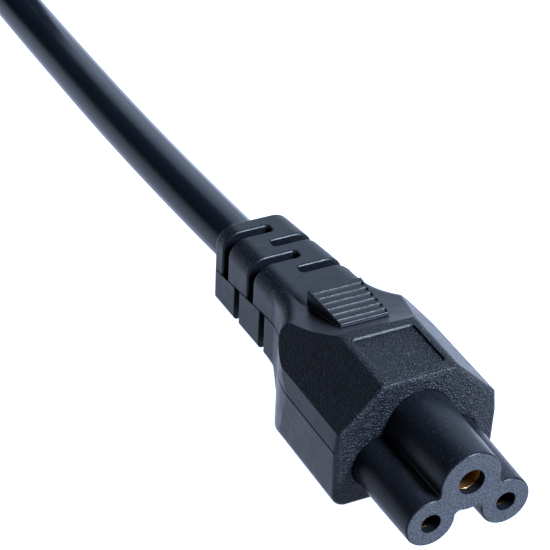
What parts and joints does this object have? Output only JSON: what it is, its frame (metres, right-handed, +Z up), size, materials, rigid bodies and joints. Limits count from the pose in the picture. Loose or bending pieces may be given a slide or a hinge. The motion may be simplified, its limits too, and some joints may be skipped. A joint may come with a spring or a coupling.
{
  "type": "cloverleaf power cord",
  "caption": "Mains lead with a three-lobed cloverleaf connector, ridged thumb pad and slotted strain relief, its round cord tied in a hank that ends in a round-pin earthed plug.",
  "frame": {"origin": "centre of the connector's box at the level of its flat underside", "axes": "+Y along the connector from its nose to its cord, +Z up from the underside, +X across"},
  "size_m": [0.0466, 0.3788, 0.0366],
  "materials": {
    "overmould": "fine moulded grain",
    "insert_plastic": "satin",
    "sheath": "satin PVC",
    "tie": "satin",
    "contact_brass": "drawn",
    "copper": "bright strands",
    "plated_pin": "nickel plated",
    "earth_metal": "nickel plated",
    "line_core": "brown insulation",
    "neutral_core": "blue insulation",
    "earth_core": "green and yellow insulation"
  },
  "bodies": {
    "root": {"cloverleaf_insert": "insert_plastic", "connector_shell": "overmould", "cord_hank": "sheath", "cord_lead": "sheath", "cord_tail": "sheath", "earth_conductor": "copper", "earth_contact": "contact_brass", "earth_core": "earth_core", "hank_tie": "tie", "line_conductor": "copper", "line_contact": "contact_brass", "line_core": "line_core", "neutral_conductor": "copper", "neutral_contact": "contact_brass", "neutral_core": "neutral_core", "plug_bridge": "insert_plastic", "plug_earth_conductor": "copper", "plug_earth_core": "earth_core", "plug_earth_socket": "earth_metal", "plug_earth_strap": "earth_metal", "plug_line_conductor": "copper", "plug_line_core": "line_core", "plug_line_pin": "plated_pin", "plug_neutral_conductor": "copper", "plug_neutral_core": "neutral_core", "plug_neutral_pin": "plated_pin", "plug_shell": "overmould"}
  },
  "joints": []
}
